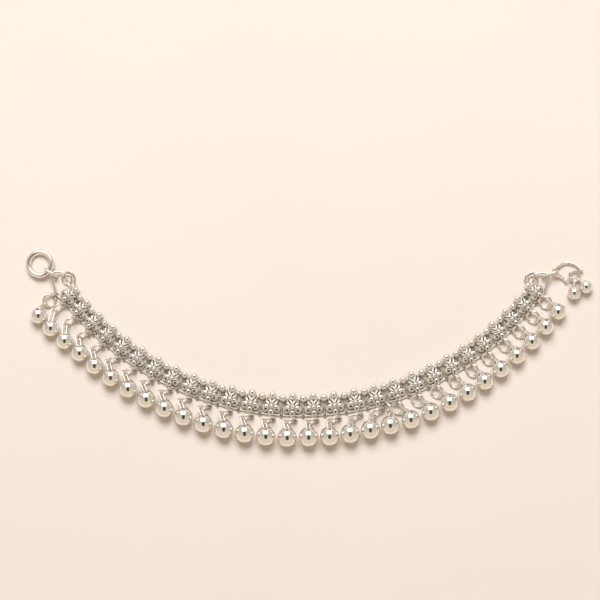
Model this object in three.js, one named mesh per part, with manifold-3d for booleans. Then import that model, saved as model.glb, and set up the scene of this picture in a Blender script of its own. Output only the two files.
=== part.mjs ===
// A payal anklet lying open on a flat surface: 28 flower links in an arc, a fringe of 30 ball drops,
// and a ring and hook at the two ends. Millimetres, +Z up off the surface, +Y towards the arc's centre.
import * as THREE from "three";
import Module from "manifold-3d";
import { mergeVertices } from "three/addons/utils/BufferGeometryUtils.js";

const wasm = await Module();
wasm.setup();

// ---- driving dimensions -------------------------------------------------------------------------
const FLOWERS = 28;
const FLOWERS_IN_SECTION = 4;
const ARC_RADIUS = 118.4; // through the flower centres
const ARC_TURN = 0.5; // degrees that the arc's middle lies round from straight down
const PITCH = 8.45; // flower to flower at the middle of the band
const PITCH_FALL = 0.18; // how much closer the flowers stand at the band's ends
const SIZE_FALL = 0.15; // how much smaller flowers and balls are at the band's ends
const SIZE_POWER = 1.3; // how late that fall begins
const DROPS = 30;
const GAP = 0.3; // between pieces that hang in each other

const PETALS = 5;
const PETAL_REACH = 2.3; // flower centre to petal centre
const PETAL_RADIUS = 1.5;
const FLOWER_LIFT = 0.5; // underside of the flowers
const FLOWER_HEIGHT = 2.9;
const FLOWER_BEAD_RADIUS = 1.0;
const EDGE_BEAD_RADIUS = 1.6;
const HIGH_BEAD_IN = 4.4; // bead above each flower, towards the arc's centre
const LOW_BEAD_IN = 3.6; // bead head of each joint pin
const PIN_WIDTH = 0.7;
const RAIL_OUT = 3.5; // lower rail of the link frames, away from the arc's centre
const RAIL_IN = 2.9; // upper rail
const RAIL_WIDTH = 0.8;
const RAIL_HEIGHT = 1.3;

const BALL_RADIUS = 3.92; // at the middle of the band
const HOLE_RISE = 38; // degrees of the ball's drilled hole above level
const LOOP_OUT = 4.4; // the loops that the drops hang from, away from the arc's centre
const JUMP_RING_RADIUS = 2.45; // to the middle of its wire
const JUMP_RING_WIRE = 0.38; // radius
const HANGER_RADIUS = 0.36; // of the soldered stubs that the jump rings hang on
const EYE_WIRE = 0.3; // radius of the wire of the balls' eyes
const EYE_HALF_WIDTH = 1.05; // to the middle of its wire

const END_RING_RADIUS = 4.8; // to the middle of its wire
const END_RING_WIRE = 0.9;
const END_WIRE = 0.42; // end loops, eyelets and scrolls
const HOOK_WIRE = 0.62;
const LINK_WIRE = 0.48; // the thick links at the two ends
const LINK_RADIUS = 1.85;
const CHARM_RING_RADIUS = 2.1;
const CHARM_RING_WIRE = 0.5;
const CLASP_BALL_RADIUS = 2.7;

const LEFT_END_RUN = 2.6; // how far the left end's fittings stand beyond the right end's
const EYELET_RADIUS = 1.9; // to the middle of its wire
const EYELET_ALONG = 3.0; // from the last flower, along the band
const EYELET_IN = 3.4;
const FOOT_ALONG = 0.9; // where the end loop meets the lower rail
const LOOP_ALONG = 8.3; // the end loop's far corner
const RING_LINK = { from: [LOOP_ALONG, -0.5], to: [9.75, 0] };
const HOOK_LINK = { from: [LOOP_ALONG, -0.4], to: [10.3, 0.95] };

const END_RING_AT = [14.55, 1.0];
const END_RING_TIP = 0.134; // radians
const CHARM_RING_AT = [14.5, 8.5];
const CHARM_RING_LIFT = 1.1;
const CLASP_BALL_1_AT = [8.9, 12.4];
const CLASP_BALL_2_AT = [13.8, 14.6];

// How the jump rings and drops lie, at chosen drops; the ones between are worked out from their
// neighbours. attach: the flower they hang below, counted from 0. reach and swing: from the loop to the
// ball's centre, the swing from straight down. ringX, ringY: the loop to the ring's centre. heading: the
// way the ring's level axis points. lean: the ring's plane from level.
const DROP_LIE = [
  { drop: 0, attach: -0.5, reach: 10.0, swing: -38, ringX: -2.0, ringY: -1.9, heading: 60, lean: 22 },
  { drop: 1, attach: 0, reach: 10.6, swing: -19, ringX: -0.5, ringY: -1.9, heading: 40, lean: 68 },
  { drop: 3, attach: 2, reach: 9.1, swing: -12, ringX: -0.5, ringY: -1.7, heading: 28, lean: 72 },
  { drop: 7, attach: 6, reach: 8.1, swing: -5, ringX: -0.6, ringY: -1.4, heading: 28, lean: 74 },
  { drop: 11, attach: 10, reach: 7.6, swing: -10, ringX: -0.8, ringY: -1.2, heading: 28, lean: 74 },
  { drop: 15, attach: 14, reach: 7.6, swing: -17, ringX: -0.9, ringY: -1.2, heading: 28, lean: 72 },
  { drop: 18, attach: 17, reach: 9.0, swing: -23, ringX: -0.8, ringY: -1.6, heading: 40, lean: 62 },
  { drop: 19, attach: 17.5, reach: 7.7, swing: 2, ringX: -0.4, ringY: -0.9, heading: -60, lean: 74 },
  { drop: 20, attach: 18, reach: 8.0, swing: 33, ringX: -0.7, ringY: -2.5, heading: -45, lean: 27 },
  { drop: 25, attach: 23, reach: 7.4, swing: 30, ringX: -0.9, ringY: -2.5, heading: -45, lean: 27 },
  { drop: 29, attach: 27, reach: 7.3, swing: 45, ringX: 0.4, ringY: -1.6, heading: -45, lean: 27 },
];

// ---- materials ----------------------------------------------------------------------------------
function silver(colour, roughness) {
  return new THREE.MeshStandardMaterial({ color: colour, metalness: 1, roughness });
}
const BAND_SILVER = [0xc4bfb4, 0.3];
const BALL_SILVER = [0xd9d4c8, 0.08];
const WIRE_SILVER = [0xcfc8b8, 0.18];

// ---- solids -------------------------------------------------------------------------------------
function toSolid(geometry) {
  const bare = geometry.clone();
  bare.deleteAttribute("normal");
  bare.deleteAttribute("uv");
  const merged = mergeVertices(bare, 1e-4);
  return new wasm.Manifold(new wasm.Mesh({
    numProp: 3,
    vertProperties: new Float32Array(merged.attributes.position.array),
    triVerts: new Uint32Array(merged.index.array),
  }));
}

function joinSolids(geometries) {
  const joined = geometries.map(toSolid).reduce((whole, solid) => whole.add(solid));
  const mesh = joined.getMesh();
  const geometry = new THREE.BufferGeometry();
  geometry.setAttribute("position", new THREE.BufferAttribute(mesh.vertProperties, 3));
  geometry.setIndex(new THREE.BufferAttribute(mesh.triVerts, 1));
  geometry.computeVertexNormals();
  return geometry;
}

const anklet = new THREE.Group();

function addPiece(name, geometries, [colour, roughness]) {
  const mesh = new THREE.Mesh(joinSolids(geometries), silver(colour, roughness));
  mesh.name = name;
  anklet.add(mesh);
}

// A closed wire loop in the plane of along and across: a torus pulled out along its length.
function wireLoop({ centre, along, across, radius, halfStraight = 0, wire, sides = 4, steps = 6 }) {
  const loop = new THREE.TorusGeometry(radius, wire, sides, steps);
  const place = loop.attributes.position;
  for (let i = 0; i < place.count; i += 1) {
    place.setX(i, place.getX(i) + Math.sign(place.getX(i)) * halfStraight);
  }
  const normal = new THREE.Vector3().crossVectors(along, across);
  loop.applyMatrix4(new THREE.Matrix4().makeBasis(along, across, normal).setPosition(centre));
  return loop;
}

// A small loop that starts at from and goes round a wire that runs through around along tangent.
function eyeLoop({ from, around, tangent, beyond, halfWidth = EYE_HALF_WIDTH, wire = EYE_WIRE }) {
  const along = around.clone().sub(from).normalize();
  const length = around.distanceTo(from) + beyond;
  const across = new THREE.Vector3().crossVectors(tangent, along).normalize();
  const centre = from.clone().addScaledVector(along, length / 2);
  const halfStraight = Math.max(0, length / 2 - halfWidth);
  const radius = Math.min(halfWidth, length / 2);
  return wireLoop({ centre, along, across, radius, halfStraight, wire, sides: 3, steps: 6 });
}

function bentWire(points, wire, steps, sides = 6) {
  const path = new THREE.CatmullRomCurve3(points, false, "centripetal");
  const section = new THREE.Shape();
  for (let i = 0; i < sides; i += 1) {
    const angle = (2 * Math.PI * i) / sides;
    const corner = [wire * Math.cos(angle), wire * Math.sin(angle)];
    if (i === 0) section.moveTo(...corner);
    else section.lineTo(...corner);
  }
  return new THREE.ExtrudeGeometry(section, { steps, extrudePath: path, bevelEnabled: false });
}

function bead(radius, x, y, z, across = 5, down = 4) {
  return new THREE.SphereGeometry(radius, across, down).rotateX(Math.PI / 2).translate(x, y, z);
}

// ---- where things lie along the band ------------------------------------------------------------
const HALF_COUNT = (FLOWERS - 1) / 2;

function sizeAt(share) {
  return 1 - SIZE_FALL * Math.abs(share) ** SIZE_POWER;
}

// The place on the arc of flower number index (which may fall between two flowers).
function bandStation(index) {
  const share = (index - HALF_COUNT) / HALF_COUNT;
  const run = HALF_COUNT * PITCH * (share - (PITCH_FALL * share ** 3) / 3);
  const angle = run / ARC_RADIUS + THREE.MathUtils.degToRad(ARC_TURN);
  return { share, angle, size: sizeAt(share), pitch: PITCH * (1 - PITCH_FALL * share ** 2) };
}

// Local x runs along the band to the right, local y towards the arc's centre.
function stationMatrix({ angle }) {
  const x = ARC_RADIUS * Math.sin(angle);
  const y = -ARC_RADIUS * Math.cos(angle);
  return new THREE.Matrix4().makeRotationZ(angle).setPosition(x, y, 0);
}

function onBand(station, x, y, z) {
  return new THREE.Vector3(x, y, z).applyMatrix4(stationMatrix(station));
}

// ---- flower links -------------------------------------------------------------------------------
function flowerOutline(size) {
  const outline = new THREE.Shape();
  const valley = PETAL_REACH * Math.cos(Math.PI / PETALS) + 0.25;
  const tipReach = PETAL_REACH + PETAL_RADIUS * 0.86;
  for (let i = 0; i < PETALS; i += 1) {
    const middle = (2 * Math.PI * i) / PETALS - Math.PI / 2;
    const corners = [
      [valley, middle - Math.PI / PETALS],
      [tipReach, middle - 0.26],
      [tipReach, middle + 0.26],
    ];
    corners.forEach(([reach, angle], corner) => {
      const point = [size * reach * Math.cos(angle), size * reach * Math.sin(angle)];
      if (i === 0 && corner === 0) outline.moveTo(...point);
      else outline.lineTo(...point);
    });
  }
  return outline;
}

function flowerOnBand(index) {
  const station = bandStation(index);
  const { size, pitch } = station;
  const outline = flowerOutline(size);
  const highBead = EDGE_BEAD_RADIUS * size;
  const parts = [
    new THREE.ExtrudeGeometry(outline, { depth: FLOWER_HEIGHT - FLOWER_LIFT, bevelEnabled: false })
      .translate(0, 0, FLOWER_LIFT),
    bead(FLOWER_BEAD_RADIUS * size, 0, 0, FLOWER_HEIGHT),
    bead(highBead, 0, HIGH_BEAD_IN * size, highBead + 0.1),
  ];
  if (index < FLOWERS - 1) {
    parts.push(bead(highBead * 0.96, pitch / 2, LOW_BEAD_IN * size, highBead));
  }
  return parts.map((part) => part.applyMatrix4(stationMatrix(station)));
}

// The wire frames of a run of links: two rails along the arc, with a pin across them at each joint.
function ladderFrame(first, last) {
  const openEnd = PIN_WIDTH / 2 + GAP;
  const start = first === 0 ? first - 0.62 : first - 0.5;
  const corner = (index, along, out) => {
    const { x, y } = onBand(bandStation(index), along, -out * bandStation(index).size, 0);
    return new THREE.Vector2(x, y);
  };
  const lower = [];
  const upper = [];
  const joints = [start];
  for (let index = first; index <= last; index += 1) joints.push(index + 0.5);
  joints.forEach((joint, i) => {
    const past = i === joints.length - 1 ? PIN_WIDTH / 2 : 0;
    const openJoint = i === 0 && first > 0;
    lower.push(corner(joint, openJoint ? openEnd : past, RAIL_OUT + RAIL_WIDTH / 2));
    upper.push(corner(joint, openJoint ? EDGE_BEAD_RADIUS + GAP : past, -RAIL_IN - RAIL_WIDTH / 2));
  });
  const frame = new THREE.Shape([...lower, ...upper.reverse()]);
  for (let i = 1; i < joints.length; i += 1) {
    const openJoint = i === 1 && first > 0;
    const below = PIN_WIDTH / 2 + (openJoint ? openEnd : 0);
    const above = PIN_WIDTH / 2 + (openJoint ? EDGE_BEAD_RADIUS + GAP : 0);
    const window = [
      corner(joints[i - 1], below, RAIL_OUT - RAIL_WIDTH / 2),
      corner(joints[i], -PIN_WIDTH / 2, RAIL_OUT - RAIL_WIDTH / 2),
      corner(joints[i], -PIN_WIDTH / 2, -RAIL_IN + RAIL_WIDTH / 2),
      corner(joints[i - 1], above, -RAIL_IN + RAIL_WIDTH / 2),
    ];
    frame.holes.push(new THREE.Path(window));
  }
  return new THREE.ExtrudeGeometry(frame, { depth: RAIL_HEIGHT, bevelEnabled: false });
}

// ---- drops --------------------------------------------------------------------------------------
function dropLie(drop) {
  const after = Math.max(1, DROP_LIE.findIndex((row) => row.drop >= drop));
  const [from, to] = [DROP_LIE[after - 1], DROP_LIE[after]];
  const share = (drop - from.drop) / (to.drop - from.drop);
  const lie = {};
  for (const column of Object.keys(from)) {
    lie[column] = THREE.MathUtils.lerp(from[column], to[column], share);
  }
  return lie;
}

function unit(headingDegrees, riseDegrees = 0) {
  const heading = THREE.MathUtils.degToRad(headingDegrees);
  const rise = THREE.MathUtils.degToRad(riseDegrees);
  return new THREE.Vector3(
    Math.cos(heading) * Math.cos(rise), Math.sin(heading) * Math.cos(rise), Math.sin(rise));
}

// The point of a ring nearest to a place, and the way its wire runs there.
function nearestOnRing(ring, place) {
  const outwards = place.clone().sub(ring.centre).projectOnPlane(ring.normal).normalize();
  return {
    point: ring.centre.clone().addScaledVector(outwards, ring.radius),
    tangent: new THREE.Vector3().crossVectors(ring.normal, outwards),
  };
}

function dropPlan(drop) {
  const lie = dropLie(drop);
  const station = bandStation(lie.attach);
  const size = sizeAt((drop - (DROPS - 1) / 2) / ((DROPS - 1) / 2));
  const rail = onBand(station, 0, -(RAIL_OUT + RAIL_WIDTH / 4) * station.size, RAIL_HEIGHT * 0.75);
  const loop = onBand(station, 0, -LOOP_OUT, 0);
  const ballRadius = BALL_RADIUS * size;
  const ball = loop.clone().addScaledVector(unit(lie.swing - 90), lie.reach).setZ(ballRadius);
  const along = unit(lie.heading);
  const across = unit(lie.heading + 90, lie.lean);
  const lift = JUMP_RING_RADIUS * Math.sin(THREE.MathUtils.degToRad(lie.lean)) + JUMP_RING_WIRE + 0.05;
  const ring = {
    centre: new THREE.Vector3(loop.x + lie.ringX, loop.y + lie.ringY, lift),
    radius: JUMP_RING_RADIUS,
    along,
    across,
    normal: new THREE.Vector3().crossVectors(along, across),
  };
  return { rail, ball, ballRadius, ring };
}

// The ring and the short stub that stands for the loop it hangs from.
function jumpRing(drop) {
  const { rail, ring } = dropPlan(drop);
  const hang = nearestOnRing(ring, rail).point;
  const stub = new THREE.CylinderGeometry(HANGER_RADIUS, HANGER_RADIUS, rail.distanceTo(hang), 4);
  const turn = new THREE.Quaternion().setFromUnitVectors(
    new THREE.Vector3(0, 1, 0), hang.clone().sub(rail).normalize());
  stub.applyQuaternion(turn).translate(...rail.clone().lerp(hang, 0.5).toArray());
  return [wireLoop({ ...ring, wire: JUMP_RING_WIRE, steps: 7 }), stub];
}

function ballDrop(drop) {
  const { ball, ballRadius, ring } = dropPlan(drop);
  const hole = ball.clone().addScaledVector(unit(90, HOLE_RISE), ballRadius - 0.25);
  const hang = nearestOnRing(ring, hole);
  const beyond = JUMP_RING_WIRE + GAP + EYE_WIRE;
  return [
    bead(ballRadius, ball.x, ball.y, ball.z, 8, 6),
    eyeLoop({ from: hole, around: hang.point, tangent: hang.tangent, beyond }),
  ];
}

for (let section = 0; section < FLOWERS / FLOWERS_IN_SECTION; section += 1) {
  const parts = [];
  const first = section * FLOWERS_IN_SECTION;
  const last = first + FLOWERS_IN_SECTION - 1;
  parts.push(ladderFrame(first, last));
  if (first === 0) parts.push(...eyeletAndScroll(-1));
  if (last === FLOWERS - 1) parts.push(...eyeletAndScroll(1));
  for (let index = first; index <= last; index += 1) parts.push(...flowerOnBand(index));
  for (let drop = 0; drop < DROPS; drop += 1) {
    const flower = Math.max(0, Math.floor(dropLie(drop).attach + 0.01));
    if (flower >= first && flower <= last) parts.push(...jumpRing(drop));
  }
  addPiece(`band_section_${section + 1}`, parts, BAND_SILVER);
}

for (let drop = 0; drop < DROPS; drop += 1) {
  addPiece(`ball_drop_${String(drop + 1).padStart(2, "0")}`, ballDrop(drop), BALL_SILVER);
}

// ---- the two ends -------------------------------------------------------------------------------
// An end's own frame: along leads away from the band, out leads away from the arc's centre.
function endFrame(side) {
  const station = bandStation(side < 0 ? 0 : FLOWERS - 1);
  const start = side < 0 ? LEFT_END_RUN : 0;
  const back = -start - 0.4; // to the last flower's own middle
  const place = (along, out, up = 0) => onBand(station, side * (along + start), -out, up);
  const along = place(1, 0).sub(place(0, 0));
  const out = place(0, 1).sub(place(0, 0));
  return { place, along, out, back };
}

const UP = new THREE.Vector3(0, 0, 1);

// The eyelet that ends the upper rail, with the scroll of wire that runs round it to the last bead.
function eyeletAndScroll(side) {
  const { place, along: onward, out: outward, back } = endFrame(side);
  const scroll = EYELET_RADIUS + END_WIRE + 0.9;
  const turns = [-35, -75, -115, -150];
  const route = turns.map((turn) => {
    const angle = THREE.MathUtils.degToRad(turn);
    const [along, out] = [scroll * Math.cos(angle), scroll * Math.sin(angle)];
    return place(EYELET_ALONG + along, out - EYELET_IN, END_WIRE + 0.08);
  });
  const eyelet = place(EYELET_ALONG, -EYELET_IN, END_WIRE + 0.02);
  const upperRail = [place(back, -RAIL_IN, 0.6), place(1.6, -RAIL_IN, 0.6)];
  const lowerRail = [place(back, RAIL_OUT * 0.85, 0.6), place(FOOT_ALONG, RAIL_OUT + 0.3, 0.6)];
  return [
    wireLoop({
      centre: eyelet, along: onward, across: outward, radius: EYELET_RADIUS, wire: END_WIRE, steps: 8,
    }),
    bentWire([...route, place(back, -HIGH_BEAD_IN, END_WIRE + 0.3)], END_WIRE, 6, 4),
    bentWire(upperRail, 0.5, 1, 4),
    bentWire(lowerRail, 0.5, 1, 4),
  ];
}

// The bent wire that gathers the band's width: it dips into the eyelet and ends over the foot.
function endLoop(side) {
  const { place } = endFrame(side);
  const over = 3 * END_WIRE + GAP + 0.06;
  const footUp = RAIL_HEIGHT + GAP + END_WIRE;
  return [bentWire([
    place(EYELET_ALONG - 0.1, -EYELET_IN, 0.5),
    place(EYELET_ALONG + 0.5, -EYELET_IN - 0.25, over + 0.2),
    place(EYELET_ALONG + 2.4, -EYELET_IN - 0.9, over + 0.4),
    place(LOOP_ALONG - 1.2, -2.9, over + 0.3),
    place(LOOP_ALONG, -1.2, LINK_RADIUS + LINK_WIRE),
    place(LOOP_ALONG - 0.2, 0.4, LINK_RADIUS + LINK_WIRE),
    place(FOOT_ALONG + 2.6, 2.3, footUp),
    place(FOOT_ALONG + 0.2, 3.8, footUp),
  ], END_WIRE, 15)];
}

// A thick oval link standing on edge, from one place to another in an end's frame.
function standingLink(side, from, to) {
  const { place } = endFrame(side);
  const [start, end] = [place(...from, 0), place(...to, 0)];
  const along = end.clone().sub(start).normalize();
  const halfStraight = start.distanceTo(end) / 2;
  const centre = start.lerp(end, 0.5).setZ(LINK_RADIUS + LINK_WIRE);
  return [wireLoop({
    centre, along, across: UP, radius: LINK_RADIUS, halfStraight, wire: LINK_WIRE, sides: 6, steps: 10,
  })];
}

// A ring lying on the surface, tipped so that its edge nearest the band rides on the link through it.
function lyingRing(side, at, radius, wire, tip, steps) {
  const { place, along, out } = endFrame(side);
  const rise = along.clone().multiplyScalar(-Math.cos(tip)).addScaledVector(UP, Math.sin(tip));
  const centre = place(...at, wire + radius * Math.sin(tip));
  return [wireLoop({ centre, along: rise, across: out, radius, wire, sides: 6, steps })];
}

// The hook: its eye holds the hook link, one arm bends round to an open end, the other holds the charm ring.
function hook() {
  const { place, along, out } = endFrame(1);
  const low = HOOK_WIRE + 0.1;
  const high = LINK_RADIUS + LINK_WIRE;
  const armEnd = place(10.7, 7.0, low + 0.3);
  const [ringAlong, ringOut] = CHARM_RING_AT;
  const rimUp = CHARM_RING_WIRE + CHARM_RING_LIFT;
  const rim = place(ringAlong - 0.9 * CHARM_RING_RADIUS, ringOut - 0.43 * CHARM_RING_RADIUS, rimUp);
  return [
    bentWire([
      place(17.9, 9.6, low + 0.8),
      place(18.3, 7.8, low + 0.4),
      place(18.0, 5.4, low),
      place(16.4, 2.7, low),
      place(13.6, 0.8, high - 0.6),
      place(11.8, 0.2, high),
      place(10.4, 0.8, high),
      place(10.1, 2.1, high - 0.1),
      place(10.8, 3.7, high - 0.6),
      place(10.9, 5.4, low + 0.1),
      armEnd,
    ], HOOK_WIRE, 22),
    eyeLoop({ from: armEnd, around: rim, tangent: out, beyond: CHARM_RING_WIRE + GAP + EYE_WIRE }),
  ];
}

function claspBall(at) {
  const { place } = endFrame(1);
  const centre = place(...at, CLASP_BALL_RADIUS);
  const ring = place(...CHARM_RING_AT, CHARM_RING_WIRE + CHARM_RING_LIFT);
  const towards = ring.clone().sub(centre).setZ(0).normalize();
  const rim = ring.clone().addScaledVector(towards, -CHARM_RING_RADIUS);
  const from = centre.clone().addScaledVector(rim.clone().sub(centre).normalize(), CLASP_BALL_RADIUS - 0.3);
  const tangent = new THREE.Vector3().crossVectors(UP, towards);
  return [
    bead(CLASP_BALL_RADIUS, centre.x, centre.y, centre.z, 8, 6),
    eyeLoop({ from, around: rim, tangent, beyond: CHARM_RING_WIRE + GAP + EYE_WIRE }),
  ];
}

addPiece("end_loop_left", endLoop(-1), WIRE_SILVER);
addPiece("end_loop_right", endLoop(1), WIRE_SILVER);
addPiece("ring_link", standingLink(-1, RING_LINK.from, RING_LINK.to), WIRE_SILVER);
addPiece("hook_link", standingLink(1, HOOK_LINK.from, HOOK_LINK.to), WIRE_SILVER);

const endRing = lyingRing(-1, END_RING_AT, END_RING_RADIUS, END_RING_WIRE, END_RING_TIP, 18);
addPiece("end_ring", endRing, WIRE_SILVER);
addPiece("hook", hook(), WIRE_SILVER);
const charmRing = lyingRing(1, CHARM_RING_AT, CHARM_RING_RADIUS, CHARM_RING_WIRE, 0, 12);
addPiece("charm_ring", charmRing.map((ring) => ring.translate(0, 0, CHARM_RING_LIFT)), WIRE_SILVER);
addPiece("clasp_ball_1", claspBall(CLASP_BALL_1_AT), BALL_SILVER);
addPiece("clasp_ball_2", claspBall(CLASP_BALL_2_AT), BALL_SILVER);

const box = new THREE.Box3().setFromObject(anklet);
anklet.position.set(-(box.min.x + box.max.x) / 2, -(box.min.y + box.max.y) / 2, -box.min.z);

export default anklet;
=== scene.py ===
"""A payal anklet in polished silver, lying open on a pale surface under soft studio light.

Lengths are millimetres until a mesh is made, and then metres. Shapes are worked out in the arc's own
frame (origin at the arc's centre, +Y from the drops towards it) and moved to the frame's place.
"""

import bmesh
import bpy
import numpy as np
from mathutils import Matrix, Vector

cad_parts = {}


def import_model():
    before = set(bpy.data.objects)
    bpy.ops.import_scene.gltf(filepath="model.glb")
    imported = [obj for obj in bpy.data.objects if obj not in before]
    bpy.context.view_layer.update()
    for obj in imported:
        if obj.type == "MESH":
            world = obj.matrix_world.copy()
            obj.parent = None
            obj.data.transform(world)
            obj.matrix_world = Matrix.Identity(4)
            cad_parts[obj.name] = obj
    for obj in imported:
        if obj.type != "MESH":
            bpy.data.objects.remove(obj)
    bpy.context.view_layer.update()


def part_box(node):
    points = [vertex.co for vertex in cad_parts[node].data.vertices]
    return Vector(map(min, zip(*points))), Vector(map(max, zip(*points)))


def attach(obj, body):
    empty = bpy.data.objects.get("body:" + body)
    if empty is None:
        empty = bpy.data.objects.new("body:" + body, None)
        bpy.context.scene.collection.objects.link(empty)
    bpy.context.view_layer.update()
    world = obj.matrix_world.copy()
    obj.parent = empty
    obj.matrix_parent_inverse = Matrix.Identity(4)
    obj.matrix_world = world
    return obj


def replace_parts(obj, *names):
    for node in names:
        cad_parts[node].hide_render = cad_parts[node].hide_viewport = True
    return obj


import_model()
MM = 0.001

# ---- the band's layout, as the CAD has it ----------------------------------------------------------
FLOWERS = 28
FLOWERS_IN_SECTION = 4
ARC_RADIUS = 118.4
ARC_TURN = 0.5
PITCH = 8.45
PITCH_FALL = 0.18
SIZE_FALL = 0.15
SIZE_POWER = 1.3
DROPS = 30
GAP = 0.3

PETALS = 5
PETAL_REACH = 2.3
PETAL_RADIUS = 1.5
FLOWER_LIFT = 0.5
FLOWER_HEIGHT = 2.9
FLOWER_BEAD_RADIUS = 1.0
EDGE_BEAD_RADIUS = 1.6
HIGH_BEAD_IN = 4.4
LOW_BEAD_IN = 3.6
RAIL_OUT = 3.5
RAIL_IN = 2.9
RAIL_WIDTH = 0.8
RAIL_HEIGHT = 1.3

BALL_RADIUS = 3.92
HOLE_RISE = 38
LOOP_OUT = 4.4
JUMP_RING_RADIUS = 2.45
JUMP_RING_WIRE = 0.38
SHOWN_RING_WIRE = 0.5  # the jump rings' wire where nothing passes close by
EYE_WIRE = 0.3
EYE_HALF_WIDTH = 1.05

END_RING_RADIUS = 4.8
END_RING_WIRE = 0.9
SHOWN_END_RING = (4.65, 1.1)  # radius and wire
SHOWN_THICKER = 1.15  # the end wires as they show
END_WIRE = 0.42
HOOK_WIRE = 0.62
LINK_WIRE = 0.48
LINK_RADIUS = 1.85
CHARM_RING_RADIUS = 2.1
CHARM_RING_WIRE = 0.5
CLASP_BALL_RADIUS = 2.7
LEFT_END_RUN = 2.6
EYELET_RADIUS = 1.9
EYELET_ALONG = 3.0
EYELET_IN = 3.4
FOOT_ALONG = 0.9
LOOP_ALONG = 8.3
END_RING_AT = (14.55, 1.0)
END_RING_TIP = 0.134
CHARM_RING_AT = (14.5, 8.5)
CHARM_RING_LIFT = 1.1
CLASP_BALL_AT = {"clasp_ball_1": (8.9, 12.4), "clasp_ball_2": (13.8, 14.6)}

DROP_LIE = [
    dict(drop=0, attach=-0.5, reach=10.0, swing=-38, ringX=-2.0, ringY=-1.9, heading=60, lean=22),
    dict(drop=1, attach=0, reach=10.6, swing=-19, ringX=-0.5, ringY=-1.9, heading=40, lean=68),
    dict(drop=3, attach=2, reach=9.1, swing=-12, ringX=-0.5, ringY=-1.7, heading=28, lean=72),
    dict(drop=7, attach=6, reach=8.1, swing=-5, ringX=-0.6, ringY=-1.4, heading=28, lean=74),
    dict(drop=11, attach=10, reach=7.6, swing=-10, ringX=-0.8, ringY=-1.2, heading=28, lean=74),
    dict(drop=15, attach=14, reach=7.6, swing=-17, ringX=-0.9, ringY=-1.2, heading=28, lean=72),
    dict(drop=18, attach=17, reach=9.0, swing=-23, ringX=-0.8, ringY=-1.6, heading=40, lean=62),
    dict(drop=19, attach=17.5, reach=7.7, swing=2, ringX=-0.4, ringY=-0.9, heading=-60, lean=74),
    dict(drop=20, attach=18, reach=8.0, swing=33, ringX=-0.7, ringY=-2.5, heading=-45, lean=27),
    dict(drop=25, attach=23, reach=7.4, swing=30, ringX=-0.9, ringY=-2.5, heading=-45, lean=27),
    dict(drop=29, attach=27, reach=7.3, swing=45, ringX=0.4, ringY=-1.6, heading=-45, lean=27),
]
UP = Vector((0, 0, 1))


def unit(heading, rise=0.0):
    heading, rise = np.radians(heading), np.radians(rise)
    return Vector((np.cos(heading) * np.cos(rise), np.sin(heading) * np.cos(rise), np.sin(rise)))


def size_at(share):
    return 1 - SIZE_FALL * abs(share) ** SIZE_POWER


class Station:
    """A place on the band: flower number index, which may fall between two flowers."""

    def __init__(self, index):
        half = (FLOWERS - 1) / 2
        share = (index - half) / half
        run = half * PITCH * (share - PITCH_FALL * share**3 / 3)
        self.angle = run / ARC_RADIUS + np.radians(ARC_TURN)
        self.size = size_at(share)
        self.pitch = PITCH * (1 - PITCH_FALL * share**2)
        middle = Vector((ARC_RADIUS * np.sin(self.angle), -ARC_RADIUS * np.cos(self.angle), 0))
        self.matrix = Matrix.Translation(middle) @ Matrix.Rotation(self.angle, 4, "Z")

    def at(self, x, y, z=0.0):
        return self.matrix @ Vector((x, y, z))


def drop_lie(drop):
    after = max(1, next(i for i, row in enumerate(DROP_LIE) if row["drop"] >= drop))
    low, high = DROP_LIE[after - 1], DROP_LIE[after]
    share = (drop - low["drop"]) / (high["drop"] - low["drop"])
    return {column: low[column] + share * (high[column] - low[column]) for column in low}


class Ring:
    def __init__(self, centre, radius, along, across):
        self.centre, self.radius, self.along, self.across = centre, radius, along, across
        self.normal = along.cross(across)

    def nearest(self, place):
        """The point of the ring nearest to a place, and the way its wire runs there."""
        away = place - self.centre
        outwards = (away - away.project(self.normal)).normalized()
        return self.centre + outwards * self.radius, self.normal.cross(outwards)


class Drop:
    def __init__(self, drop):
        lie = drop_lie(drop)
        station = Station(lie["attach"])
        self.flower = max(0, int(lie["attach"] + 0.01))
        size = size_at((drop - (DROPS - 1) / 2) / ((DROPS - 1) / 2))
        self.rail = station.at(0, -(RAIL_OUT + RAIL_WIDTH / 4) * station.size, RAIL_HEIGHT * 0.75)
        loop = station.at(0, -LOOP_OUT)
        self.radius = BALL_RADIUS * size
        self.ball = loop + unit(lie["swing"] - 90) * lie["reach"]
        self.ball.z = self.radius
        lift = JUMP_RING_RADIUS * np.sin(np.radians(lie["lean"])) + JUMP_RING_WIRE + 0.05
        centre = Vector((loop.x + lie["ringX"], loop.y + lie["ringY"], lift))
        along = unit(lie["heading"])
        self.ring = Ring(centre, JUMP_RING_RADIUS, along, unit(lie["heading"] + 90, lie["lean"]))
        self.hole_way = unit(90, HOLE_RISE)


def arc_centre():
    """Where the arc's centre is in the frame, found from one drop's box."""
    drop = Drop(14)
    low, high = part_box("ball_drop_15")
    ball = Vector(((low.x + high.x) / 2, low.y + drop.radius * MM, 0)) / MM
    return Vector((ball.x - drop.ball.x, ball.y - drop.ball.y, 0))


ARC_CENTRE = arc_centre()


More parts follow.
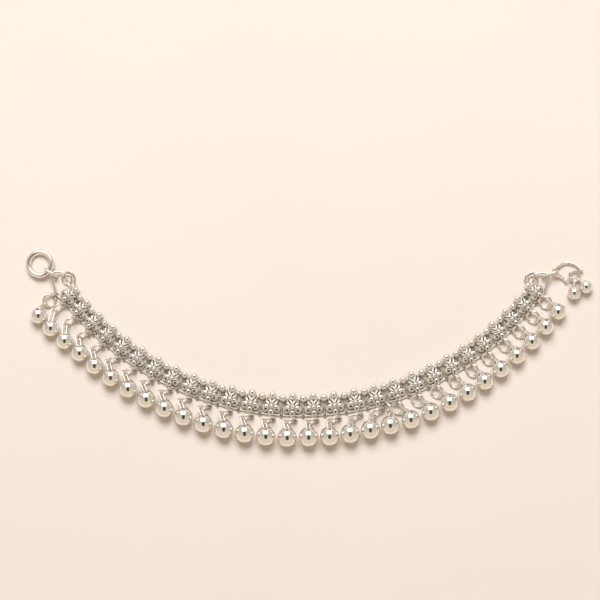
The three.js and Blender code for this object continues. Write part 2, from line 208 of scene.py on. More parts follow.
# ---- shapes ----------------------------------------------------------------------------------------
class Form:
    """Points and faces gathered into one mesh, with a painted shade from 0 to 1 at each point."""

    def __init__(self):
        self.points, self.faces, self.dark = [], [], []

    def add(self, points, faces, dark=0.0, matrix=None):
        first = len(self.points)
        if matrix is not None:
            points = [matrix @ Vector(p) for p in points]
        self.points += [tuple(p) for p in points]
        self.faces += [tuple(first + i for i in face) for face in faces]
        self.dark += list(dark) if np.ndim(dark) else [float(dark)] * len(points)

    def piece(self, name, material, slot, sharp=40):
        mesh = bpy.data.meshes.new(name)
        mesh.from_pydata([(Vector(p) + ARC_CENTRE) * MM for p in self.points], [], self.faces)
        # the dark attribute carries the painted shade into the silver's colour
        shade = mesh.attributes.new("dark", "FLOAT", "POINT")
        shade.data.foreach_set("value", self.dark)
        skin = bmesh.new()
        skin.from_mesh(mesh)
        bmesh.ops.recalc_face_normals(skin, faces=skin.faces)
        skin.to_mesh(mesh)
        skin.free()
        mesh.shade_smooth()
        mesh.set_sharp_from_angle(angle=np.radians(sharp))
        mesh.materials.append(material)
        made = bpy.data.objects.new(name, mesh)
        bpy.context.scene.collection.objects.link(made)
        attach(made, "root")
        return made


def tube_faces(rows, sides, closed):
    last = rows if closed else rows - 1
    faces = []
    for i in range(last):
        for j in range(sides):
            k, m = (i + 1) % rows, (j + 1) % sides
            faces.append((i * sides + j, i * sides + m, k * sides + m, k * sides + j))
    return faces


def turned(form, profile, matrix, steps=32, dark=None):
    """A closed solid turned about local Z, from (radius, z) pairs whose two ends are on the axis."""
    points, shades = [], []
    dark = [0.0] * len(profile) if dark is None else dark
    for (radius, z), shade in zip(profile[1:-1], dark[1:-1]):
        for j in range(steps):
            turn = 2 * np.pi * j / steps
            points.append((radius * np.cos(turn), radius * np.sin(turn), z))
            shades.append(shade)
    rows = len(profile) - 2
    faces = tube_faces(rows, steps, False)
    start, end = len(points), len(points) + 1
    points += [(0, 0, profile[0][1]), (0, 0, profile[-1][1])]
    shades += [dark[0], dark[-1]]
    for j in range(steps):
        m = (j + 1) % steps
        faces.append((start, m, j))
        faces.append((end, (rows - 1) * steps + j, (rows - 1) * steps + m))
    form.add(points, faces, shades, matrix)


def ball(form, centre, radius, steps=24, squash=1.0, contact_shade=0.0):
    """A ball whose foot carries painted shade where it meets what it is soldered to."""
    rows = steps // 2
    turns = [np.pi * i / rows for i in range(rows + 1)]
    profile = [(radius * np.sin(t), -radius * squash * np.cos(t)) for t in turns]
    # painted shade, darkest at the foot and gone a little above the middle
    dark = [contact_shade * max(0.0, 1 - t / (0.62 * np.pi)) for t in turns]
    turned(form, profile, Matrix.Translation(centre), steps, dark)


def sweep(form, route, radius, sides=14, closed=False, flat=1.0, dark=0.0):
    """A round wire along a route; flat squeezes its height. An open wire has rounded ends."""
    route = [Vector(p) for p in route]
    count = len(route)
    ways = []
    for i in range(count):
        before = route[i - 1] if closed or i else route[0]
        after = route[(i + 1) % count] if closed or i < count - 1 else route[-1]
        ways.append((after - before).normalized())
    side = ways[0].orthogonal().normalized()
    if not closed and abs(ways[0].z) < 0.9:
        side = ways[0].cross(UP).normalized()
    sides_along = [side]
    for i in range(1, count):
        side = ways[i - 1].rotation_difference(ways[i]) @ side
        sides_along.append((side - side.project(ways[i])).normalized())
    twist = 0.0
    if closed:
        final = ways[-1].rotation_difference(ways[0]) @ sides_along[-1]
        twist = np.arctan2(final.cross(sides_along[0]).dot(ways[0]), final.dot(sides_along[0]))
    rows = [(route[i], ways[i], sides_along[i], 1.0, twist * i / count) for i in range(count)]
    if not closed:
        head = [(route[0] - ways[0] * radius * out, ways[0], sides_along[0], share, 0.0)
                for share, out in [(0.35, 0.9), (0.7, 0.68), (0.92, 0.36)]]
        tail = [(route[-1] + ways[-1] * radius * out, ways[-1], sides_along[-1], share, 0.0)
                for share, out in [(0.92, 0.36), (0.7, 0.68), (0.35, 0.9)]]
        rows = head + rows + tail
    points = []
    for place, way, side, share, spin in rows:
        lift = way.cross(side)
        for j in range(sides):
            turn = 2 * np.pi * j / sides + spin
            offset = side * np.cos(turn) + lift * (np.sin(turn) * flat)
            points.append(place + offset * (radius * share))
    faces = tube_faces(len(rows), sides, closed)
    if not closed:
        faces.append(tuple(range(sides)))
        last = (len(rows) - 1) * sides
        faces.append(tuple(last + j for j in range(sides)))
    form.add(points, faces, dark)


def ring_route(ring, steps=48, half_straight=0.0):
    """The middle of a ring's wire; half_straight pulls it out along its length."""
    route = []
    for i in range(steps):
        turn = 2 * np.pi * (i + 0.5) / steps
        x = ring.radius * np.cos(turn) + np.sign(np.cos(turn)) * half_straight
        route.append(ring.centre + ring.along * x + ring.across * (ring.radius * np.sin(turn)))
    return route


def eye_route(start, around, tangent, beyond, half_width=EYE_HALF_WIDTH, steps=32):
    """A small loop from start that goes round a wire which runs through around along tangent."""
    along = (around - start).normalized()
    length = (around - start).length + beyond
    across = tangent.cross(along).normalized()
    radius = min(half_width, length / 2)
    ring = Ring(start + along * (length / 2), radius, along, across)
    return ring_route(ring, steps, max(0.0, length / 2 - half_width))


def smooth_route(points, steps=12):
    """A centripetal Catmull-Rom curve through points."""
    points = [Vector(p) for p in points]
    ends = [2 * points[0] - points[1], *points, 2 * points[-1] - points[-2]]
    route = []
    for i in range(1, len(ends) - 2):
        p = ends[i - 1 : i + 3]
        t = [0.0]
        for a, b in zip(p, p[1:]):
            t.append(t[-1] + max((b - a).length, 1e-6) ** 0.5)
        for step in range(steps):
            u = t[1] + (t[2] - t[1]) * step / steps
            a = [p[k].lerp(p[k + 1], (u - t[k]) / (t[k + 1] - t[k])) for k in range(3)]
            b = [a[k].lerp(a[k + 1], (u - t[k]) / (t[k + 2] - t[k])) for k in range(2)]
            route.append(b[0].lerp(b[1], (u - t[1]) / (t[2] - t[1])))
    return [*route, points[-1]]


def bar(form, start, end, width, low, high, underside_shade=0.1):
    """A straight bar with rounded edges and ends, from low to high above the surface."""
    along = (end - start).normalized()
    across = UP.cross(along)
    corner = []
    for j in range(20):
        turn = 2 * np.pi * (j + 0.5) / 20
        x = np.sign(np.cos(turn)) * abs(np.cos(turn)) ** 0.8 * width / 2
        z = np.sign(np.sin(turn)) * abs(np.sin(turn)) ** 0.8 * (high - low) / 2
        corner.append((x, z))
    length = (end - start).length
    stops = [(0.0, 0.72), (0.1, 0.93), (0.28, 1.0), (length / 2, 1.0)]
    stops += [(length - 0.28, 1.0), (length - 0.1, 0.93), (length, 0.72)]
    points, dark = [], []
    for run, share in stops:
        place = start + along * run + UP * ((low + high) / 2)
        for x, z in corner:
            points.append(place + across * (x * share) + UP * (z * share))
            # painted shade on the lower half of the bar
            dark.append(underside_shade if z < 0 else 0.0)
    faces = tube_faces(len(stops), len(corner), False)
    faces.append(tuple(range(len(corner))))
    last = (len(stops) - 1) * len(corner)
    faces.append(tuple(last + j for j in range(len(corner))))
    form.add(points, faces, dark)


# ---- flowers ---------------------------------------------------------------------------------------
PETAL_RINGS = 16
PETAL_SIDES = 40
PETAL_FOOT = 0.75  # where a petal's wall meets the flower's plate


def bump_at(place, middle, width):
    return np.exp(-(((place - middle) / width) ** 2))


# each petal's top gives a height and a painted shade for its grooves and pits
def dome_petal(share, x, y):
    """The smooth, round petal, with a fine groove inside its edge and painted shade in that groove."""
    body = 0.95 + 1.75 * np.sqrt(max(0.0, 1 - share**2.6))
    groove = bump_at(share, 0.86, 0.07)
    return body - 0.16 * groove, 0.5 * groove


def leaf(share, x, y):
    """The height of a leaf that slopes down from the flower's middle, with a crisp rounded edge."""
    top = 2.15 - 0.36 * x - 0.16 * y**2
    return 0.8 + (top - 0.8) * np.sqrt(max(0.0, 1 - share**7))


def cup_petal(share, x, y):
    """A curled petal: a bright lobe and a raised rim round an off-centre pit, with painted shade in the pit and
    the groove.
    """
    pit = bump_at(np.hypot(x - PIT_AT[0], (y - PIT_AT[1]) * 1.3), 0.0, 0.52)
    groove = bump_at(share, 0.74, 0.1) * (0.5 - 0.5 * np.tanh(2.2 * y))
    lobe = bump_at(np.hypot(x - 0.1, y - 0.75), 0.0, 0.6)
    height = leaf(share, x, y) + 0.25 * lobe - 0.75 * pit - 0.15 * groove
    return height, min(1.0, 0.95 * pit + 0.3 * groove)


def ridged_petal(share, x, y):
    """A long petal with raised edges, a deep groove down its middle and slanting ridges beside it, with painted
    shade in the groove and between the ridges.
    """
    fade = max(0.0, 1 - share**6)
    groove = bump_at(y, 0.0, 0.2) * fade * (0.5 + 0.5 * np.tanh(3 * (x + 1.2)))
    wave = np.cos(2 * np.pi * (abs(y) * 1.1 - x * 0.55)) * fade
    height = leaf(share, x, y) - 0.45 * groove + 0.09 * wave
    return height, min(1.0, 0.9 * groove + 0.25 * max(0.0, -wave))


PIT_AT = (0.2, -0.5)
PETAL_KINDS = [
    dict(turn=-90, top=dome_petal, wide=0.98, long=1.25, reach=1.12),
    dict(turn=-21, top=cup_petal, wide=1.24, long=1.1, reach=1.05),
    dict(turn=57, top=ridged_petal, wide=1.04, long=1.16, reach=0.98),
    dict(turn=123, top=ridged_petal, wide=1.04, long=1.16, reach=0.98),
    dict(turn=201, top=cup_petal, wide=1.24, long=1.1, reach=1.05),
]


def petal(form, kind, size, matrix):
    turn = np.radians(kind["turn"])
    spin = Matrix.Rotation(turn, 4, "Z")
    spin = matrix @ spin @ Matrix.Translation((PETAL_REACH * kind["reach"] * size, 0, 0))
    long, wide = PETAL_RADIUS * kind["long"] * size, PETAL_RADIUS * kind["wide"] * size
    mirror = 1 if kind["turn"] < 90 else -1
    points, dark = [], []
    for i in range(1, PETAL_RINGS + 1):
        share = i / PETAL_RINGS
        for j in range(PETAL_SIDES):
            angle = 2 * np.pi * j / PETAL_SIDES
            x, y = np.cos(angle) * share * long, np.sin(angle) * share * wide
            z, shade = kind["top"](share, x / size, mirror * y / size)
            points.append((x, y, z * size))
            dark.append(shade)
    edge = [points[-PETAL_SIDES + j] for j in range(PETAL_SIDES)]
    # the wall and the underside of each petal get painted shade
    points += [(x, y, PETAL_FOOT * size) for x, y, _ in edge]
    dark += [0.8] * PETAL_SIDES
    middle, shade = kind["top"](0.0, 0.0, 0.0)
    points += [(0, 0, middle * size), (0, 0, PETAL_FOOT * size)]
    dark += [shade, 0.8]
    top, foot = len(points) - 2, len(points) - 1
    rows = PETAL_RINGS + 1
    faces = tube_faces(rows, PETAL_SIDES, False)
    for j in range(PETAL_SIDES):
        m = (j + 1) % PETAL_SIDES
        faces.append((top, j, m))
        faces.append((foot, (rows - 1) * PETAL_SIDES + m, (rows - 1) * PETAL_SIDES + j))
    form.add(points, faces, dark, spin)


def flower(form, index):
    station = Station(index)
    size = station.size
    for kind in PETAL_KINDS:
        petal(form, kind, size, station.matrix)
    plate = [(0, 1.4), (2.3, 1.35), (2.55, 1.1), (2.55, 0.7), (2.3, FLOWER_LIFT), (0, FLOWER_LIFT)]
    plate = [(radius * size, z * size) for radius, z in plate]
    # painted shade on the plate under the petals, on the bead's collar and at the bead's foot
    turned(form, plate, station.matrix, 30, [0.85] * len(plate))
    bead = FLOWER_BEAD_RADIUS * size
    collar = Ring(station.at(0, 0, 2.15 * size), bead * 0.95, station.at(1, 0) - station.at(0, 0), UP)
    collar.across = station.at(0, 1) - station.at(0, 0)
    sweep(form, ring_route(collar, 24), 0.26 * size, 8, closed=True, dark=0.35)
    ball(form, station.at(0, 0, 2.75 * size), bead, 24, contact_shade=0.9)


def edge_beads(form, index):
    station = Station(index)
    radius = EDGE_BEAD_RADIUS * station.size
    # painted shade at each bead's foot
    ball(form, station.at(0, HIGH_BEAD_IN * station.size, radius + 0.1), radius, 28, contact_shade=0.5)
    if index < FLOWERS - 1:
        place = station.at(station.pitch / 2, LOW_BEAD_IN * station.size, radius)
        ball(form, place, radius * 0.96, 28, contact_shade=0.5)


# ---- the frames behind the flowers -----------------------------------------------------------------
def link_frame(form, index):
    """One link's two rails, the posts under its flower, and the pin that joins it to the next link."""
    before, here, after = Station(index - 0.5), Station(index), Station(index + 0.5)
    if index == 0:
        before = Station(index - 0.62)
    for out, width in [(RAIL_OUT + 0.05, RAIL_WIDTH * 0.8), (-RAIL_IN, RAIL_WIDTH)]:
        start = before.at(0.1, -out * before.size)
        end = after.at(-0.1, -out * after.size)
        bar(form, start, end, width, 0.02, RAIL_HEIGHT * 0.85)
    post = 0.55 * here.size
    # the posts under the flower get painted shade
    for x in (-post, post):
        sweep(form, [here.at(x, -RAIL_OUT * here.size, 0.8), here.at(x, RAIL_IN * here.size, 0.8)],
              0.32, 10, dark=0.7)
    if index < FLOWERS - 1:
        pin(form, index)


def pin(form, index):
    joint = Station(index + 0.5)
    foot = joint.at(0, -(RAIL_OUT + 0.25) * joint.size, 0.75)
    head = joint.at(0, LOW_BEAD_IN * joint.size, 0.75)
    # painted shade on the pin, and more on its knuckles
    sweep(form, smooth_route([foot, foot.lerp(head, 0.5), head], 6), 0.36, 12, dark=0.1)
    for out, radius, half in [(RAIL_OUT, 0.66, 0.36), (-1.95, 0.62, 0.3)]:
        middle = joint.at(0, -out * joint.size, 0.72)
        along = joint.at(0, 1) - joint.at(0, 0)
        sweep(form, [middle - along * half, middle + along * half], radius, 16, dark=0.55)


def hanger_loop(form, drop):
    """The small soldered loop that a jump ring hangs in, and its foot on the rail."""
    hang, tangent = drop.ring.nearest(drop.rail)
    route = eye_route(drop.rail, hang, tangent, JUMP_RING_WIRE + 0.22 + 0.26, 0.86, 28)
    # painted shade on the loop, low by the rail
    sweep(form, route, 0.28, 10, closed=True, dark=0.6)


# ---- drops -----------------------------------------------------------------------------------------
def drilled_ball(form, centre, radius, way, hole=0.62, steps=64, far_hole=0.0):
    """A smooth ball with a drilled hole whose mouth faces along way, and perhaps one opposite it."""
    depth = 1.5
    mouth = np.sqrt(radius**2 - hole**2)
    first = np.arcsin((hole + 0.12) / radius)
    last = np.pi - np.arcsin(far_hole / radius)
    turns = np.linspace(first, last, 44)
    profile = [(0, mouth - depth), (hole, mouth - depth), (hole, mouth - 0.14), (hole + 0.03, mouth - 0.05)]
    # painted shade inside the hole, darkest at its bottom and fading at its mouth
    dark = [1.0, 1.0, 0.9, 0.4]
    profile += [(radius * np.sin(t), radius * np.cos(t)) for t in turns]
    dark += [0.0] * len(turns)
    if far_hole:
        far = np.sqrt(radius**2 - far_hole**2)
        profile += [(far_hole, 0.9 - far), (0, 0.9 - far)]
        # painted shade inside the far hole
        dark += [1.0, 1.0]
    turn = UP.rotation_difference(way).to_matrix().to_4x4()
    turned(form, profile, Matrix.Translation(centre) @ turn, steps, dark)


def ball_drop(form, drop):
    drilled_ball(form, drop.ball, drop.radius, drop.hole_way)
    start = drop.ball + drop.hole_way * (drop.radius - 0.25)
    hang, tangent = drop.ring.nearest(start)
    route = eye_route(start, hang, tangent, JUMP_RING_WIRE + GAP + EYE_WIRE, 0.82)
    sweep(form, route, EYE_WIRE * 0.95, 12, closed=True)


# ---- the two ends ----------------------------------------------------------------------------------
class End:
    """An end's own frame: along leads away from the band, out leads away from the arc's centre."""

    def __init__(self, side):
        self.station = Station(0 if side < 0 else FLOWERS - 1)
        self.side = side
        self.start = LEFT_END_RUN if side < 0 else 0.0
        self.back = -self.start - 0.4
        self.along = self.place(1, 0) - self.place(0, 0)
        self.out = self.place(0, 1) - self.place(0, 0)

    def place(self, along, out, up=0.0):
        return self.station.at(self.side * (along + self.start), -out, up)


def eyelet_and_scroll(form, side):
    end = End(side)
    scroll = EYELET_RADIUS + END_WIRE + 0.9
    route = []
    for turn in np.radians([-35, -55, -75, -95, -115, -132, -150]):
        along, out = scroll * np.cos(turn), scroll * np.sin(turn)
        route.append(end.place(EYELET_ALONG + along, out - EYELET_IN, END_WIRE + 0.08))
    route.append(end.place(end.back, -HIGH_BEAD_IN, END_WIRE + 0.3))
    # a little painted shade on the scroll
    sweep(form, smooth_route(route, 6), END_WIRE, 14, dark=0.08)
    middle = end.place(EYELET_ALONG, -EYELET_IN, END_WIRE + 0.02)
    sweep(form, ring_route(Ring(middle, EYELET_RADIUS, end.along, end.out), 48), END_WIRE, 14, closed=True)
    for inner, outer in [
        (end.place(end.back, -RAIL_IN, 0.6), end.place(1.6, -RAIL_IN, 0.6)),
        (end.place(end.back, RAIL_OUT * 0.85, 0.6), end.place(FOOT_ALONG, RAIL_OUT + 0.3, 0.6)),
    ]:
        # a little painted shade on the legs
        sweep(form, [inner, inner.lerp(outer, 0.5), outer], 0.48, 12, dark=0.1)


def end_loop(form, side):
    end = End(side)
    over = 3 * END_WIRE + GAP + 0.06
    foot = RAIL_HEIGHT + GAP + END_WIRE
    high = LINK_RADIUS + LINK_WIRE
    sweep(form, smooth_route([
        end.place(EYELET_ALONG - 0.1, -EYELET_IN, 0.5),
        end.place(EYELET_ALONG + 0.5, -EYELET_IN - 0.25, over + 0.2),
        end.place(EYELET_ALONG + 2.4, -EYELET_IN - 0.9, over + 0.4),
        end.place(LOOP_ALONG - 1.2, -2.9, over + 0.3),
        end.place(LOOP_ALONG, -1.2, high),
        end.place(LOOP_ALONG - 0.2, 0.4, high),
        end.place(FOOT_ALONG + 2.6, 2.3, foot),
        end.place(FOOT_ALONG + 0.2, 3.8, foot),
    ]), END_WIRE * SHOWN_THICKER, 14)


def standing_link(form, side, start, finish):
    end = End(side)
    low, high = end.place(*start), end.place(*finish)
    along = (high - low).normalized()
    centre = low.lerp(high, 0.5) + UP * (LINK_RADIUS + LINK_WIRE)
    ring = Ring(centre, LINK_RADIUS, along, UP)
    sweep(form, ring_route(ring, 56, (high - low).length / 2), LINK_WIRE * SHOWN_THICKER, 16, closed=True)


def lying_ring(form, side, at, radius, wire, tip, lift=0.0):
    end = End(side)
    rise = -end.along * np.cos(tip) + UP * np.sin(tip)
    ring = Ring(end.place(*at, wire + radius * np.sin(tip) + lift), radius, rise, end.out)
    sweep(form, ring_route(ring, 72), wire, 24, closed=True)


def hook(form):
    end = End(1)
    low, high = HOOK_WIRE + 0.1, LINK_RADIUS + LINK_WIRE
    arm_end = end.place(10.7, 7.0, low + 0.3)
    ring_along, ring_out = CHARM_RING_AT
    rim_up = CHARM_RING_WIRE + CHARM_RING_LIFT
    rim = end.place(ring_along - 0.9 * CHARM_RING_RADIUS, ring_out - 0.43 * CHARM_RING_RADIUS, rim_up)
    sweep(form, smooth_route([
        end.place(17.9, 9.6, low + 0.8),
        end.place(18.3, 7.8, low + 0.4),
        end.place(18.0, 5.4, low),
        end.place(16.4, 2.7, low),
        end.place(13.6, 0.8, high - 0.6),
        end.place(11.8, 0.2, high),
        end.place(10.4, 0.8, high),
        end.place(10.1, 2.1, high - 0.1),
        end.place(10.8, 3.7, high - 0.6),
        end.place(10.9, 5.4, low + 0.1),
        arm_end,
    ], 10), HOOK_WIRE, 20)
    route = eye_route(arm_end, rim, end.out, CHARM_RING_WIRE + GAP + EYE_WIRE)
    sweep(form, route, EYE_WIRE, 12, closed=True)


def clasp_ball(form, at):
    end = End(1)
    centre = end.place(*at, CLASP_BALL_RADIUS)
    ring = end.place(*CHARM_RING_AT, CHARM_RING_WIRE + CHARM_RING_LIFT)
    towards = ring - centre
    towards.z = 0
    towards.normalize()
    rim = ring - towards * CHARM_RING_RADIUS
    way = (rim - centre).normalized()
    drilled_ball(form, centre, CLASP_BALL_RADIUS, way, 0.6, 56, far_hole=0.42)
    start = centre + way * (CLASP_BALL_RADIUS - 0.3)
    route = eye_route(start, rim, UP.cross(towards), CHARM_RING_WIRE + GAP + EYE_WIRE, 0.95)
    sweep(form, route, EYE_WIRE, 12, closed=True)


# ---- materials -------------------------------------------------------------------------------------
class Nodes:
    """Short calls for making a material's nodes."""

    def __init__(self, name):
        self.material = bpy.data.materials.new(name)
        self.material.use_nodes = True
        self.tree = self.material.node_tree
        self.shader = self.tree.nodes["Principled BSDF"]

    def add(self, kind, **values):
        node = self.tree.nodes.new(kind)
        for key, value in values.items():
            if key in node.inputs:
                node.inputs[key].default_value = value
            else:
                setattr(node, key, value)
        return node

    def link(self, out, into):
        self.tree.links.new(out, into)

    def noise(self, scale, detail=4.0, roughness=0.55):
        place = self.add("ShaderNodeTexCoord")
        noise = self.add("ShaderNodeTexNoise", Scale=scale, Detail=detail, Roughness=roughness)
        self.link(place.outputs["Object"], noise.inputs["Vector"])
        return noise.outputs["Fac"]

    def spread(self, value, low, high, to_low, to_high):
        node = self.add("ShaderNodeMapRange")
        for key, number in zip(("From Min", "From Max", "To Min", "To Max"), (low, high, to_low, to_high)):
            node.inputs[key].default_value = number
        self.link(value, node.inputs["Value"])
        return node.outputs["Result"]

    def blend(self, share, low, high):
        node = self.add("ShaderNodeMix", data_type="RGBA")
        self.link(share, node.inputs["Factor"])
        for socket, colour in ((node.inputs[6], low), (node.inputs[7], high)):
            if isinstance(colour, tuple):
                socket.default_value = colour
            else:
                self.link(colour, socket)
        return node.outputs[2]

    def relief(self, height, strength, distance):
        node = self.add("ShaderNodeBump", Strength=strength, Distance=distance)
        self.link(height, node.inputs["Height"])
        self.link(node.outputs["Normal"], self.shader.inputs["Normal"])


def silver(name, bright, warm, shade_colour, smooth, rough, relief):
    """Silver with slight warm patches, fine wear in its gloss, and painted shade where the dark attribute is."""
    nodes = Nodes(name)
    patches = nodes.spread(nodes.noise(260.0), 0.35, 0.7, 0.0, 1.0)
    colour = nodes.blend(patches, bright, warm)
    dark = nodes.add("ShaderNodeAttribute", attribute_name="dark")
    # painted shade from the dark attribute, broken up a little by fine noise
    broken = nodes.add("ShaderNodeMath", operation="MULTIPLY")
    nodes.link(dark.outputs["Fac"], broken.inputs[0])
    nodes.link(nodes.spread(nodes.noise(1400.0), 0.3, 0.6, 0.75, 1.0), broken.inputs[1])
    nodes.link(nodes.blend(broken.outputs[0], colour, shade_colour), nodes.shader.inputs["Base Color"])
    wear = nodes.spread(nodes.noise(900.0, 6.0, 0.65), 0.35, 0.75, smooth, rough)
    nodes.link(wear, nodes.shader.inputs["Roughness"])
    nodes.shader.inputs["Metallic"].default_value = 1.0
    nodes.relief(nodes.noise(700.0, 5.0), relief, 0.00006)
    return nodes.material


def floor_material():
    nodes = Nodes("pale_surface")
    mottle = nodes.spread(nodes.noise(9.0, 3.0), 0.3, 0.7, 0.0, 1.0)
    colour = nodes.blend(mottle, (0.915, 0.815, 0.730, 1), (0.925, 0.832, 0.752, 1))
    nodes.link(colour, nodes.shader.inputs["Base Color"])
    nodes.shader.inputs["Roughness"].default_value = 0.75
    nodes.shader.inputs["Specular IOR Level"].default_value = 0.2
    nodes.relief(nodes.noise(1800.0, 5.0), 0.12, 0.0002)
    return nodes.material


# the colour of the painted shade in hollows, at feet and under parts
PAINTED_SHADE = (0.060, 0.048, 0.036, 1)
CAST = silver("cast_silver", (0.88, 0.86, 0.82, 1), (0.85, 0.82, 0.76, 1), PAINTED_SHADE, 0.11, 0.24, 0.2)
BALL = silver("ball_silver", (0.91, 0.885, 0.84, 1), (0.89, 0.86, 0.80, 1), PAINTED_SHADE, 0.06, 0.13, 0.03)
WIRE = silver("wire_silver", (0.90, 0.865, 0.80, 1), (0.87, 0.825, 0.74, 1), PAINTED_SHADE, 0.09, 0.2, 0.1)


# ---- the pieces ------------------------------------------------------------------------------------
ALL_DROPS = [Drop(i) for i in range(DROPS)]


def band_section(number):
    first = number * FLOWERS_IN_SECTION
    last = first + FLOWERS_IN_SECTION - 1
    node = f"band_section_{number + 1}"
    flowers, beads, wires, rings = Form(), Form(), Form(), Form()
    for index in range(first, last + 1):
        flower(flowers, index)
        edge_beads(beads, index)
        link_frame(wires, index)
    for drop in ALL_DROPS:
        if first <= drop.flower <= last:
            hanger_loop(wires, drop)
            sweep(rings, ring_route(drop.ring, 56), SHOWN_RING_WIRE, 16, closed=True)
    if first == 0:
        eyelet_and_scroll(wires, -1)
    if last == FLOWERS - 1:
        eyelet_and_scroll(wires, 1)
    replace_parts(wires.piece(f"link_frames_{number + 1}", WIRE, "band_silver"), node)
    flowers.piece(f"flowers_{number + 1}", CAST, "band_silver")
    beads.piece(f"edge_beads_{number + 1}", BALL, "band_silver")
    rings.piece(f"jump_rings_{number + 1}", WIRE, "band_silver")


def one_piece(node, name, material, slot, make, *values):
    form = Form()
    make(form, *values)
    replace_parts(form.piece(name, material, slot), node)


for number in range(FLOWERS // FLOWERS_IN_SECTION):
    band_section(number)
for number, drop in enumerate(ALL_DROPS, start=1):
    one_piece(f"ball_drop_{number:02d}", f"drop_{number:02d}", BALL, "ball_silver", ball_drop, drop)
one_piece("end_loop_left", "gather_loop_left", WIRE, "wire_silver", end_loop, -1)
one_piece("end_loop_right", "gather_loop_right", WIRE, "wire_silver", end_loop, 1)
RING_LINK = ((LOOP_ALONG, -0.5), (9.75, 0))
HOOK_LINK = ((LOOP_ALONG, -0.4), (10.3, 0.95))
one_piece("ring_link", "ring_side_link", WIRE, "wire_silver", standing_link, -1, *RING_LINK)
one_piece("hook_link", "hook_side_link", WIRE, "wire_silver", standing_link, 1, *HOOK_LINK)
one_piece("end_ring", "clasp_ring", WIRE, "wire_silver", lying_ring,
          -1, END_RING_AT, *SHOWN_END_RING, END_RING_TIP)
one_piece("hook", "clasp_hook", WIRE, "wire_silver", hook)
one_piece("charm_ring", "small_ring", WIRE, "wire_silver", lying_ring,
          1, CHARM_RING_AT, CHARM_RING_RADIUS, CHARM_RING_WIRE, 0.0, CHARM_RING_LIFT)
for name, at in CLASP_BALL_AT.items():
    one_piece(name, name.replace("clasp", "charm"), BALL, "ball_silver", clasp_ball, at)


# ---- the studio ------------------------------------------------------------------------------------
def card(name, centre, width, height, facing, colour, strength, soft=0.3):
    """A card with soft edges that is seen only in reflections; soft is the share of it that fades."""
    mesh = bpy.data.meshes.new(name)
    w, h = width / 2, height / 2
    mesh.from_pydata([(-w, -h, 0), (w, -h, 0), (w, h, 0), (-w, h, 0)], [], [(0, 1, 2, 3)])
    made = bpy.data.objects.new(name, mesh)
    made.location = centre
    made.rotation_euler = (Vector(facing) - Vector(centre)).to_track_quat("Z", "Y").to_euler()
    material = bpy.data.materials.new(name)
    material.use_nodes = True
    tree = material.node_tree
    tree.nodes.clear()

    def node(kind, **settings):
        added = tree.nodes.new(kind)
        for key, value in settings.items():
            setattr(added, key, value)
        return added

    place, parts = node("ShaderNodeTexCoord"), node("ShaderNodeSeparateXYZ")
    tree.links.new(place.outputs["Object"], parts.inputs[0])
    mask = None
    for axis, half in (("X", w), ("Y", h)):
        away = node("ShaderNodeMath", operation="ABSOLUTE")
        tree.links.new(parts.outputs[axis], away.inputs[0])
        fade = node("ShaderNodeMapRange", interpolation_type="SMOOTHSTEP")
        fade.inputs["From Min"].default_value = half
        fade.inputs["From Max"].default_value = half * (1 - soft)
        tree.links.new(away.outputs[0], fade.inputs["Value"])
        if mask is None:
            mask = fade.outputs["Result"]
        else:
            both = node("ShaderNodeMath", operation="MULTIPLY")
            tree.links.new(mask, both.inputs[0])
            tree.links.new(fade.outputs["Result"], both.inputs[1])
            mask = both.outputs[0]
    glow, clear = node("ShaderNodeEmission"), node("ShaderNodeBsdfTransparent")
    glow.inputs["Color"].default_value = (*colour, 1)
    glow.inputs["Strength"].default_value = strength
    mix, out = node("ShaderNodeMixShader"), node("ShaderNodeOutputMaterial")
    tree.links.new(mask, mix.inputs[0])
    tree.links.new(clear.outputs[0], mix.inputs[1])
    tree.links.new(glow.outputs[0], mix.inputs[2])
    tree.links.new(mix.outputs[0], out.inputs["Surface"])
    mesh.materials.append(material)
    made.visible_camera = False
    made.visible_shadow = False
    made.visible_diffuse = False
    bpy.context.scene.collection.objects.link(made)
    return made


def area_light(name, place, aim, width, height, watts, colour):
    light = bpy.data.lights.new(name, "AREA")
    light.shape = "RECTANGLE"
    light.size, light.size_y = width, height
    light.energy = watts
    light.color = colour
    made = bpy.data.objects.new(name, light)
    made.location = place
    made.rotation_euler = (Vector(aim) - Vector(place)).to_track_quat("-Z", "Y").to_euler()
    made.visible_glossy = False
    bpy.context.scene.collection.objects.link(made)
    return made


def floor():
    mesh = bpy.data.meshes.new("surface")
    half = 3.0
    mesh.from_pydata([(-half, -half, 0), (half, -half, 0), (half, half, 0), (-half, half, 0)], [], [(0, 1, 2, 3)])
    mesh.materials.append(floor_material())
    made = bpy.data.objects.new("surface", mesh)
    bpy.context.scene.collection.objects.link(made)


ROOM_LIGHT_ON_THINGS = 0.53  # the share of the room's glow that falls on rough surfaces


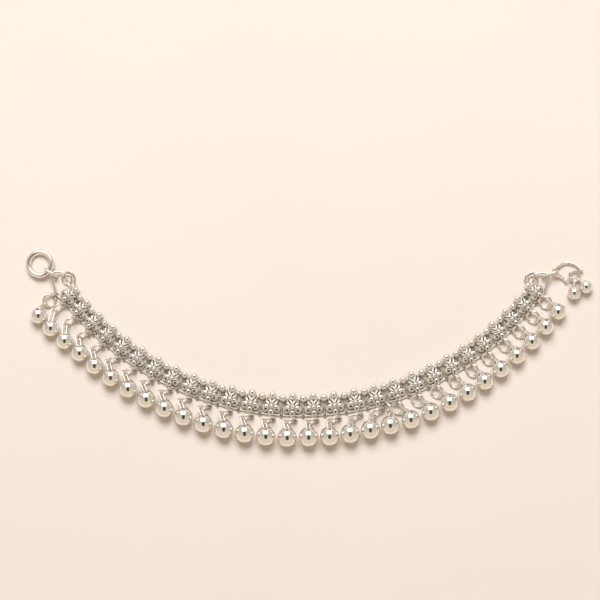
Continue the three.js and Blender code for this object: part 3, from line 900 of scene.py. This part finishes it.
def world(near, far, strength):
    """Room light: near on the drops' side, turning to far on the window's side."""
    made = bpy.data.worlds.new("studio")
    made.use_nodes = True
    tree = made.node_tree
    place, parts = tree.nodes.new("ShaderNodeTexCoord"), tree.nodes.new("ShaderNodeSeparateXYZ")
    share, mix = tree.nodes.new("ShaderNodeMapRange"), tree.nodes.new("ShaderNodeMix")
    tree.links.new(place.outputs["Generated"], parts.inputs[0])
    share.interpolation_type = "SMOOTHSTEP"
    share.inputs["From Min"].default_value = -0.65
    share.inputs["From Max"].default_value = 0.25
    tree.links.new(parts.outputs["Y"], share.inputs["Value"])
    mix.data_type = "RGBA"
    mix.inputs[6].default_value = (*near, 1)
    mix.inputs[7].default_value = (*far, 1)
    tree.links.new(share.outputs["Result"], mix.inputs["Factor"])
    back, rays = tree.nodes["Background"], tree.nodes.new("ShaderNodeLightPath")
    power = tree.nodes.new("ShaderNodeMapRange")
    power.inputs["To Min"].default_value = strength
    power.inputs["To Max"].default_value = strength * ROOM_LIGHT_ON_THINGS
    tree.links.new(rays.outputs["Is Diffuse Ray"], power.inputs["Value"])
    tree.links.new(power.outputs["Result"], back.inputs["Strength"])
    tree.links.new(mix.outputs[2], back.inputs["Color"])
    bpy.context.scene.world = made


VIEW_WIDTH = 240.0  # of the surface that the camera sees
VIEW_HEIGHT = 700.0  # of the camera above it
VIEW_MIDDLE = ARC_CENTRE + Vector((-0.2, -75.6, 0))

floor()
world((0.84, 0.70, 0.54), (0.60, 0.565, 0.51), 0.95)
WINDOW = dict(centre=(-0.1, 1.25, 1.15), width=2.3, height=1.9)
area_light("window_light", (-0.1, 1.1, 1.45), (0, 0, 0), 1.0, 0.8, 31.0, (0.98, 0.99, 1.03))
card("window_glow", WINDOW["centre"], WINDOW["width"], WINDOW["height"], (0, 0, 0),
     (1.0, 0.985, 0.965), 2.6, soft=0.55)
card("ceiling_shade", (0.03, -0.3, 1.6), 1.3, 2.0, (0.03, -0.3, 0.0), (0.50, 0.42, 0.35), 0.1, soft=0.5)

camera = bpy.data.objects.new("camera", bpy.data.cameras.new("camera"))
camera.data.sensor_width = 36
camera.data.lens = 36 * VIEW_HEIGHT / VIEW_WIDTH
camera.data.clip_start = 0.01
camera.location = (VIEW_MIDDLE.x * MM, VIEW_MIDDLE.y * MM, VIEW_HEIGHT * MM)
camera.rotation_euler = (0, 0, 0)
bpy.context.scene.collection.objects.link(camera)
bpy.context.scene.camera = camera
bpy.context.scene.view_settings.view_transform = "Standard"
